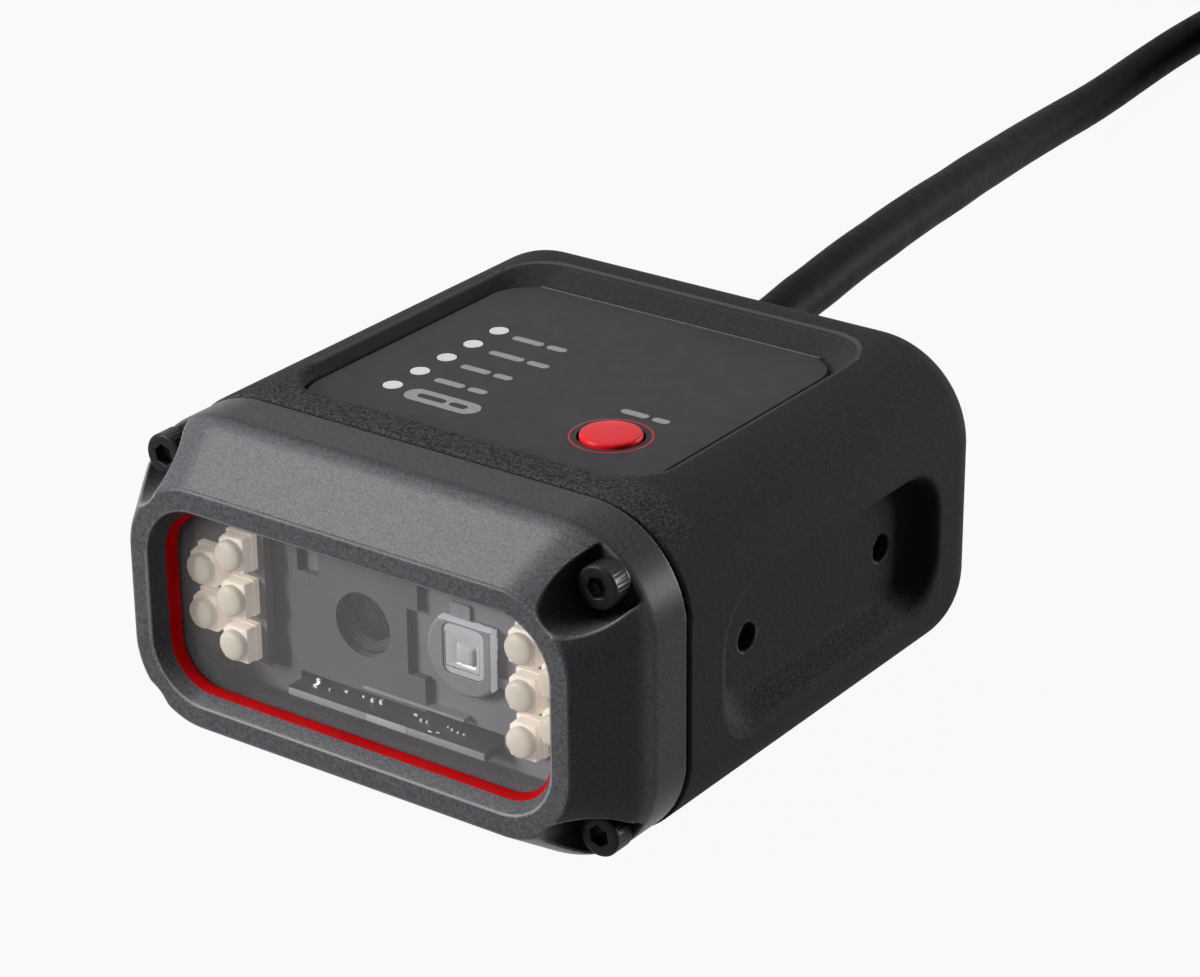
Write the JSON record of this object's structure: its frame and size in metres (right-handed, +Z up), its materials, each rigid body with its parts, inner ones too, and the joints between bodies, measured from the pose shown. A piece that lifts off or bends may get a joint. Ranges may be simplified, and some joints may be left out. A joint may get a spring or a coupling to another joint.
{
  "type": "fixed barcode reader",
  "caption": "Compact fixed-mount barcode reader with a tapered front bezel, lit window, recessed top label with button and status lights, side mounting holes and a fixed cable.",
  "frame": {"origin": "centre of the reader's bottom face, at the middle of its width and depth, without the cable", "axes": "+Z up, front window faces -Y, +X to the right seen from the front"},
  "size_m": [0.0942, 0.343, 0.036],
  "materials": {
    "bezel_paint": "satin",
    "housing_paint": "matte",
    "screw_steel": "satin",
    "seal_rubber": "matte",
    "black_rubber": "matte",
    "clear_glass": "gloss",
    "label_plastic": "matte",
    "button_plastic": "satin",
    "light_plastic": "gloss",
    "dark_plastic": "matte",
    "pale_plastic": "satin",
    "grey_plastic": "matte",
    "board": "satin",
    "contact_metal": "satin",
    "black_screw": "satin"
  },
  "bodies": {
    "reader": {"front_bezel": "bezel_paint", "bezel_screws": "black_screw", "window_seal": "seal_rubber", "window": "clear_glass", "housing_gasket": "black_rubber", "main_housing": "housing_paint", "top_label": "label_plastic", "status_lights": "light_plastic", "button_switch": "dark_plastic", "indicator_board": "board", "indicator_leds": "pale_plastic", "indicator_screws": "screw_steel", "optics_chassis": "dark_plastic", "left_led_board": "pale_plastic", "right_led_board": "pale_plastic", "left_leds": "pale_plastic", "right_leds": "pale_plastic", "imager_bracket": "grey_plastic", "lens_holder": "dark_plastic", "lens_barrel": "dark_plastic", "lens_glass": "clear_glass", "image_sensor": "dark_plastic", "sensor_board": "board", "aimer_holder": "pale_plastic", "aimer_lens": "clear_glass", "aimer_led": "pale_plastic", "main_board": "board", "tongue_parts": "pale_plastic", "board_chips": "dark_plastic", "board_screws": "screw_steel", "cable_header": "pale_plastic", "inner_lead": "black_rubber", "cable_gland": "black_rubber", "cable": "black_rubber", "cable_coil": "black_rubber", "coil_ties": "dark_plastic", "cable_tail": "black_rubber", "connector_body": "dark_plastic", "connector_nut": "screw_steel", "connector_pins": "contact_metal"},
    "button": {"setup_button": "button_plastic"}
  },
  "joints": [
    {"name": "button_press", "type": "slide", "parent": "reader", "child": "button", "axis": [0, 0, -1], "range_m": [0, 0.0006], "stiffness_N_per_m": 2000}
  ]
}
